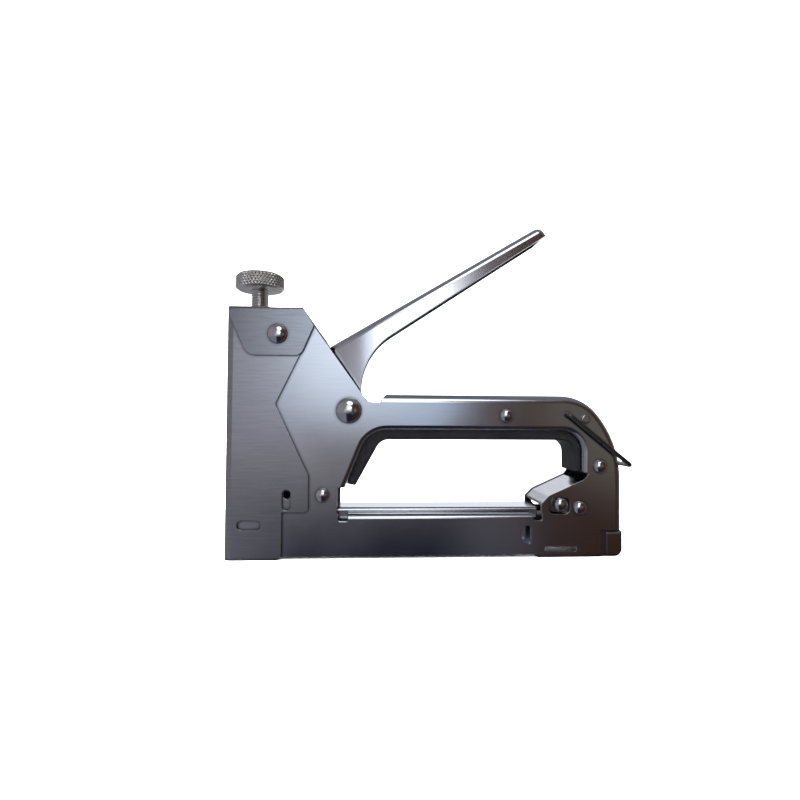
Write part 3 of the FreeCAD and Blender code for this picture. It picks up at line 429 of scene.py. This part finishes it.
# ---------------------------------------------------------------- room
def floor_and_backdrop():
    """A pale round room: flat under the object, curving up into a wall on every side."""
    build = bmesh.new()
    flat, cove, wall, arc_steps, steps = 1.0, 0.5, 2.2, 12, 96
    profile = [(0.0001, 0.0), (flat / 2, 0.0), (flat, 0.0)]
    for step in range(1, arc_steps + 1):
        turn = math.pi / 2 * step / arc_steps
        profile.append((flat + cove * math.sin(turn), cove * (1 - math.cos(turn))))
    profile.append((flat + cove, wall))
    turns = [2 * math.pi * step / steps for step in range(steps)]
    rings = [[build.verts.new((ROOM_CENTRE + radius * math.cos(turn), radius * math.sin(turn), z))
              for turn in turns] for radius, z in profile]
    skin(build, rings)
    bmesh.ops.remove_doubles(build, verts=build.verts, dist=1e-3)
    t = Tree("pale_paper")
    t.link(t.mix(t.span(t.noise(3.0), 0.3, 0.7, 0.0, 1.0), 0.90, 0.93),
           t.shader.inputs["Base Color"])
    t.shader.inputs["Roughness"].default_value = 0.9
    room = finish_mesh("pale_floor", build, t.material, 60)
    if room.data.polygons[0].normal.z < 0:
        room.data.flip_normals()
    room.visible_glossy = False


floor_and_backdrop()


def area_light(name, place, target, width, height, power):
    """A soft white panel. The plating doesn't mirror it: see world_light."""
    data = bpy.data.lights.new(name, "AREA")
    data.shape = "RECTANGLE"
    data.size, data.size_y = width, height
    data.energy = power
    lamp = bpy.data.objects.new(name, data)
    scene.collection.objects.link(lamp)
    lamp.location = place
    lamp.visible_glossy = False
    lamp.rotation_mode = "QUATERNION"
    lamp.rotation_quaternion = (Vector(target) - Vector(place)).to_track_quat("-Z", "Y")


area_light("key", (-0.35, -0.75, 0.85), (0.07, 0.3, 0.10), 0.9, 0.7, 22.0)
area_light("top", (0.05, 0.05, 1.5), (0.07, 0.1, 0.0), 1.8, 1.6, 46.0)
area_light("backdrop", (0.07, -0.3, 1.3), (0.07, 1.05, 0.85), 1.6, 0.9, 46.0)


def world_light():
    """The surroundings that the plating mirrors, as zones by direction, tuned until the front
    view had the photo's tones: bright up in front, dark below, dark and warm to the right, grey
    above and pale behind. Later zones lie over earlier ones. The floor and lamps aren't mirrored."""
    world = bpy.data.worlds.new("studio")
    scene.world = world
    world.use_nodes = True
    tree = world.node_tree
    background = tree.nodes["Background"]
    direction = tree.nodes.new("ShaderNodeTexCoord").outputs["Generated"]
    split = tree.nodes.new("ShaderNodeSeparateXYZ")
    tree.links.new(direction, split.inputs[0])

    def near_to(aim):
        made = tree.nodes.new("ShaderNodeVectorMath")
        made.operation = "DOT_PRODUCT"
        tree.links.new(direction, made.inputs[0])
        made.inputs[1].default_value = Vector(aim).normalized()
        return made.outputs["Value"]

    def span(value, low, high):
        made = tree.nodes.new("ShaderNodeMapRange")
        made.interpolation_type = "SMOOTHSTEP"
        tree.links.new(value, made.inputs["Value"])
        made.inputs["From Min"].default_value = low
        made.inputs["From Max"].default_value = high
        return made.outputs["Result"]

    def mix(factor, first, second):
        made = tree.nodes.new("ShaderNodeMix")
        made.data_type = "RGBA"
        made.clamp_factor = True
        tree.links.new(factor, made.inputs[0])
        for target, colour in ((made.inputs[6], first), (made.inputs[7], second)):
            if isinstance(colour, tuple):
                target.default_value = (*colour, 1.0)
            else:
                tree.links.new(colour, target)
        return made.outputs[2]

    across, depth, up = (split.outputs[name] for name in ("X", "Y", "Z"))
    left = mix(span(near_to((-0.25, -1.0, 0.02)), 0.985, 0.999), (0.24, 0.225, 0.235),
               (0.40, 0.405, 0.47))
    surround = mix(span(across, -0.16, 0.34), left, (0.060, 0.034, 0.028))
    dark = mix(span(across, -0.26, -0.15), (0.17, 0.175, 0.21),
               (0.013, 0.014, 0.028))
    dusk = mix(span(across, 0.24, 0.36), dark, (0.036, 0.020, 0.015))
    below = mix(span(up, -0.25, -0.10), dusk, surround)
    shimmer = mix(span(near_to((0.235, -0.94, -0.225)), 0.9965, 0.9993), below,
                  (0.100, 0.098, 0.115))
    rear = mix(span(near_to((0.46, -0.88, 0.02)), 0.980, 0.996), shimmer,
               (0.130, 0.120, 0.100))
    above = mix(span(up, 0.45, 0.80), rear, (0.16, 0.165, 0.19))
    behind = mix(span(depth, -0.35, 0.35), above, (0.20, 0.205, 0.22))
    window = mix(span(near_to((0.25, 1.0, 0.28)), 0.80, 0.985), behind, (0.95, 0.98, 1.05))
    lamp = mix(span(near_to((0.05, -0.80, 0.62)), 0.966, 0.982), window, (2.0, 2.05, 2.15))
    glow = mix(span(near_to((-0.02, -1.0, 0.21)), 0.960, 0.992), lamp, (0.95, 1.05, 1.18))
    fade = mix(span(across, -0.28, -0.13), lamp, glow)
    cut = mix(span(across, 0.11, 0.24), fade, lamp)
    patch = mix(span(near_to((0.09, -1.0, 0.04)), 0.9930, 0.9993), cut, (0.62, 0.74, 0.90))
    core = mix(span(near_to((0.06, -1.0, 0.21)), 0.992, 0.9993), patch, (2.6, 2.65, 2.7))
    tree.links.new(core, background.inputs["Color"])
    background.inputs["Strength"].default_value = 1.0


world_light()


# ---------------------------------------------------------------- camera
def make_camera():
    """A wide lens close to the near side, turned a little from square."""
    data = bpy.data.cameras.new("camera")
    data.sensor_width = 36.0
    data.lens = 22.725
    data.clip_start, data.clip_end = 0.01, 10.0
    camera = bpy.data.objects.new("camera", data)
    scene.collection.objects.link(camera)
    yaw, pitch, roll = (math.radians(a) for a in (-3.16, -1.60, 0.36))
    base = Matrix(((1, 0, 0), (0, 0, -1), (0, 1, 0)))
    turn_y = Matrix(((math.cos(yaw), 0, math.sin(yaw)), (0, 1, 0),
                     (-math.sin(yaw), 0, math.cos(yaw))))
    turn_x = Matrix(((1, 0, 0), (0, math.cos(pitch), -math.sin(pitch)),
                     (0, math.sin(pitch), math.cos(pitch))))
    turn_z = Matrix(((math.cos(roll), -math.sin(roll), 0),
                     (math.sin(roll), math.cos(roll), 0), (0, 0, 1)))
    view = turn_z @ turn_x @ turn_y @ base
    right, down, ahead = view[0], view[1], view[2]
    matrix = Matrix((right, -down, -ahead)).transposed().to_4x4()
    matrix.translation = Vector((61.85, -231.5, 62.2)) * MM
    camera.matrix_world = matrix
    scene.camera = camera


make_camera()

scene.view_settings.view_transform = "Standard"
